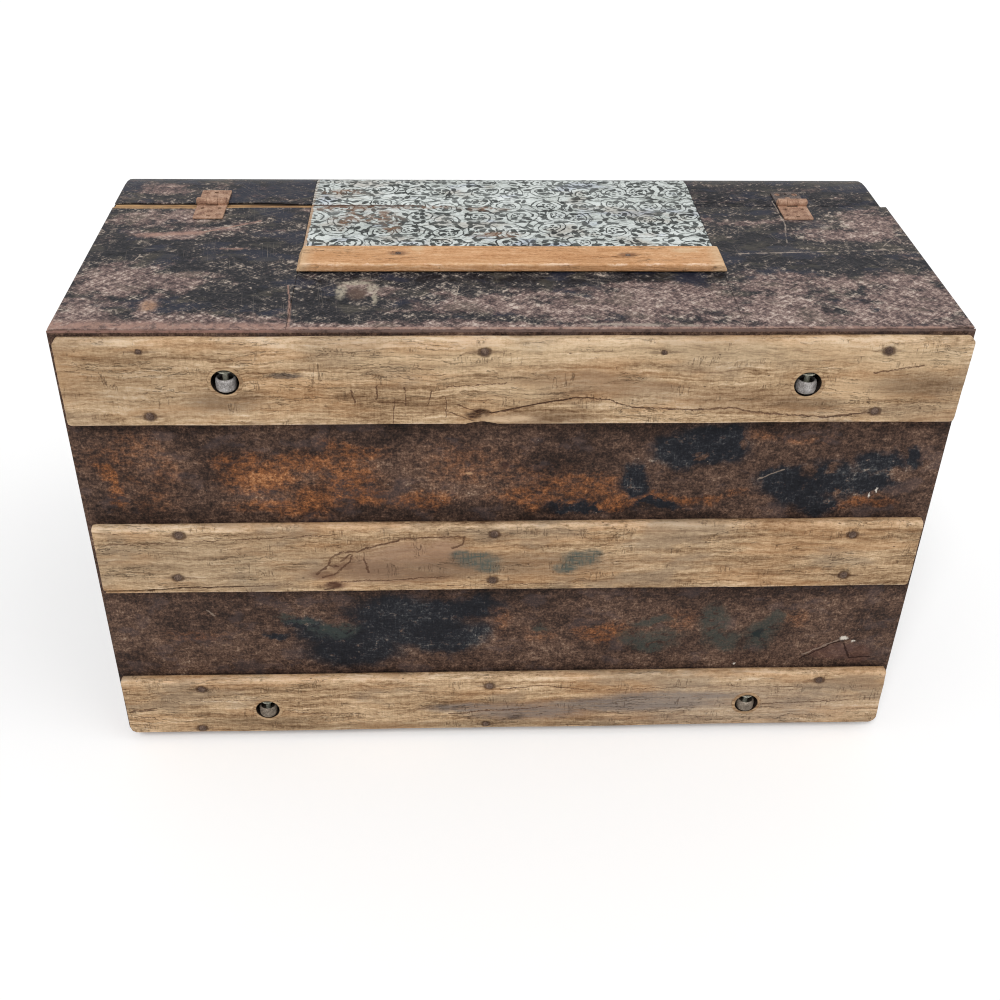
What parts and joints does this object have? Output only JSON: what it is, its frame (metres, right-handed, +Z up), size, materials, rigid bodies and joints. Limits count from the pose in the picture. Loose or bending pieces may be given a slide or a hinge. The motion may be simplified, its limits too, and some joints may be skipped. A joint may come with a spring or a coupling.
{
  "type": "dome top trunk",
  "caption": "Wooden travel trunk with a domed lid, covered in sheet iron and patterned tin, with nailed wooden slats, iron rollers under it and leather end handles, lying on its front.",
  "frame": {"origin": "centre of the trunk's bounding box on the surface that its front slats lie on", "axes": "+X along the trunk, to the right as seen from its bottom; +Y from its bottom to its dome; +Z up, from its front to its back"},
  "size_m": [0.849, 0.4824, 0.4746],
  "materials": {
    "boards": "bare sawn softwood, aged",
    "pale_slats": "weathered, dry, cracked along the grain",
    "tan_slat": "worn varnish, orange tan",
    "rusty_sheet": "dark paint with orange rust and blue-black patches, matte",
    "dark_sheet": "blue-black paint, scratched and worn brown, satin",
    "patterned_tin": "pale blue tin printed with dark scrolls, stained",
    "worn_iron": "dark iron, edges worn bright",
    "rusty_iron": "light brown rust, matte",
    "strap_leather": "dark brown, dry"
  },
  "bodies": {
    "body": {"bottom_board": "boards", "front_board": "boards", "back_board": "boards", "left_end_board": "boards", "right_end_board": "boards", "bottom_sheet": "rusty_sheet", "back_sheet_left": "dark_sheet", "back_sheet_middle": "dark_sheet", "back_sheet_right": "dark_sheet", "patterned_panel": "patterned_tin", "front_sheet": "dark_sheet", "left_end_sheet": "dark_sheet", "right_end_sheet": "dark_sheet", "bottom_slat_back": "pale_slats", "bottom_slat_middle": "pale_slats", "bottom_slat_front": "pale_slats", "back_slat": "tan_slat", "front_slat_low": "pale_slats", "front_slat_high": "pale_slats", "roller_cup_back_left": "worn_iron", "roller_cup_back_right": "worn_iron", "roller_cup_front_left": "worn_iron", "roller_cup_front_right": "worn_iron", "hinge_body_leaf_left": "rusty_iron", "hinge_body_leaf_right": "rusty_iron", "hinge_pin_left": "rusty_iron", "hinge_pin_right": "rusty_iron", "handle_strap_left": "strap_leather", "handle_strap_right": "strap_leather", "handle_cap_left_back": "worn_iron", "handle_cap_left_front": "worn_iron", "handle_cap_right_back": "worn_iron", "handle_cap_right_front": "worn_iron", "lock_plate": "worn_iron"},
    "lid": {"hinge_lid_leaf_left": "rusty_iron", "hinge_lid_leaf_right": "rusty_iron", "lid_front_rim": "boards", "lid_back_rim": "boards", "dome_stave_1": "boards", "dome_stave_2": "boards", "dome_stave_3": "boards", "dome_stave_4": "boards", "dome_stave_5": "boards", "dome_stave_6": "boards", "left_lid_end": "boards", "right_lid_end": "boards", "lid_sheet_left": "dark_sheet", "lid_sheet_middle": "patterned_tin", "lid_sheet_right": "dark_sheet", "left_lid_end_sheet": "dark_sheet", "right_lid_end_sheet": "dark_sheet", "dome_slat_back": "pale_slats", "dome_slat_crown": "pale_slats", "dome_slat_front": "pale_slats", "hasp_bracket": "worn_iron"},
    "back_left_roller": {"roller_back_left": "worn_iron"},
    "back_right_roller": {"roller_back_right": "worn_iron"},
    "front_left_roller": {"roller_front_left": "worn_iron"},
    "front_right_roller": {"roller_front_right": "worn_iron"},
    "hasp": {"hasp": "worn_iron"}
  },
  "joints": [
    {"name": "lid_hinge", "type": "hinge", "parent": "body", "child": "lid", "pos_m": [0, 0.0371, 0.4691], "axis": [1, 0, 0], "range_deg": [0, 100]},
    {"name": "hasp_hinge", "type": "hinge", "parent": "lid", "child": "hasp", "pos_m": [0, 0.04735, 0.007], "axis": [1, 0, 0], "range_deg": [0, 100]},
    {"name": "back_left_roller_spin", "type": "hinge", "parent": "body", "child": "back_left_roller", "pos_m": [-0.2445, -0.23215, 0.4188], "axis": [0, 0, 1], "continuous": true},
    {"name": "back_right_roller_spin", "type": "hinge", "parent": "body", "child": "back_right_roller", "pos_m": [0.248, -0.23215, 0.4148], "axis": [0, 0, 1], "continuous": true},
    {"name": "front_left_roller_spin", "type": "hinge", "parent": "body", "child": "front_left_roller", "pos_m": [-0.242, -0.23215, 0.0398], "axis": [0, 0, 1], "continuous": true},
    {"name": "front_right_roller_spin", "type": "hinge", "parent": "body", "child": "front_right_roller", "pos_m": [0.2445, -0.23215, 0.0388], "axis": [0, 0, 1], "continuous": true}
  ]
}
